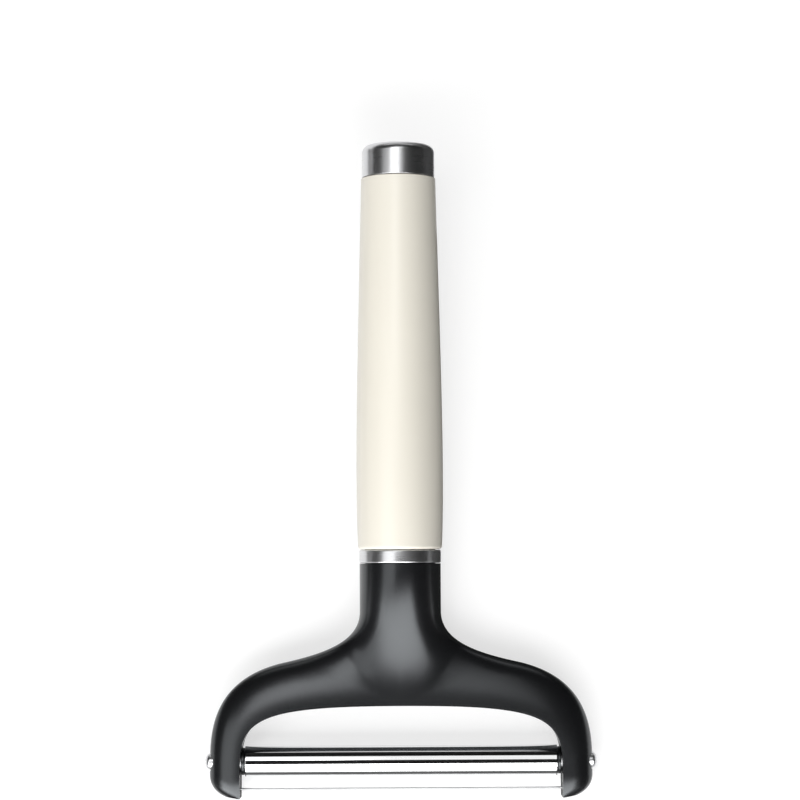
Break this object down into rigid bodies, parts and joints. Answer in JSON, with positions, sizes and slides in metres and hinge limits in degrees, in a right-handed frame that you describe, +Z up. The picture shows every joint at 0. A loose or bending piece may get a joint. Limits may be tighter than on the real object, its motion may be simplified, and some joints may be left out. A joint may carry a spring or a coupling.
{
  "type": "wire cheese slicer",
  "caption": "Hand-held wire cheese slicer: round plastic handle with steel end cap and ferrule, black bow with arms, a free-turning steel roller and a taut cutting wire.",
  "frame": {"origin": "on the table, under the middle of the slicer's bounding box, with the slicer lying on its back", "axes": "+X across the bow along the roller, +Y along the handle towards the end cap, +Z up out of the front face"},
  "size_m": [0.1076, 0.1804, 0.0339],
  "materials": {
    "cream_plastic": "gloss",
    "black_plastic": "satin",
    "satin_steel": "satin",
    "polished_steel": "polished"
  },
  "bodies": {
    "slicer": {"handle_grip": "cream_plastic", "end_cap": "satin_steel", "ferrule_ring": "satin_steel", "head_frame": "black_plastic", "roller_axle": "satin_steel", "axle_screw_left": "satin_steel", "axle_screw_right": "satin_steel", "wire_washer_left": "satin_steel", "wire_washer_right": "satin_steel", "cutting_wire": "polished_steel"},
    "roller": {"roller_tube": "polished_steel", "roller_bush_left": "black_plastic", "roller_bush_right": "black_plastic"}
  },
  "joints": [
    {"name": "roller_spin", "type": "hinge", "parent": "slicer", "child": "roller", "pos_m": [0, -0.07984, 0.00559], "axis": [1, 0, 0], "continuous": true}
  ]
}
